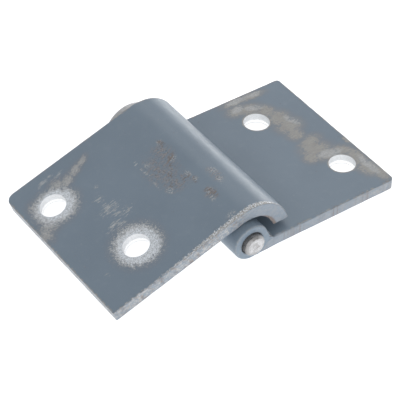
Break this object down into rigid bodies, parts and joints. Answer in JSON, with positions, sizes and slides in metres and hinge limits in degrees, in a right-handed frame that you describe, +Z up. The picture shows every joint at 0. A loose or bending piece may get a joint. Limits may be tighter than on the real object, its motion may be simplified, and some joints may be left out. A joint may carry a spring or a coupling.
{
  "type": "strap hinge",
  "caption": "Heavy bolt-on plate hinge: two flat steel leaves with staggered bolt holes, a curled cover lip over welded knuckles, and a headed pin.",
  "frame": {"origin": "centre of the frame leaf's flat underside", "axes": "+X from the pin towards the frame leaf's outer edge, +Y along the pin from its plain end towards its head, +Z up out of the frame leaf's top face"},
  "size_m": [0.1718, 0.1153, 0.0333],
  "materials": {
    "leaf_paint": "satin blue-grey paint, scuffed to bare steel round the holes and along the cut edges",
    "pin_steel": "turned bare steel, chamfered end"
  },
  "bodies": {
    "frame_side": {"frame_leaf": "leaf_paint", "frame_knuckle": "leaf_paint", "frame_fillet_weld": "leaf_paint", "frame_groove_weld": "leaf_paint", "hinge_pin": "pin_steel"},
    "door_side": {"door_leaf": "leaf_paint", "door_knuckle": "leaf_paint", "door_flat_weld": "leaf_paint", "door_lip_weld": "leaf_paint"}
  },
  "joints": [
    {"name": "pin_hinge", "type": "hinge", "parent": "frame_side", "child": "door_side", "pos_m": [-0.046, 0, 0.00917], "axis": [0, 1, 0], "range_deg": [-160, 6]}
  ]
}
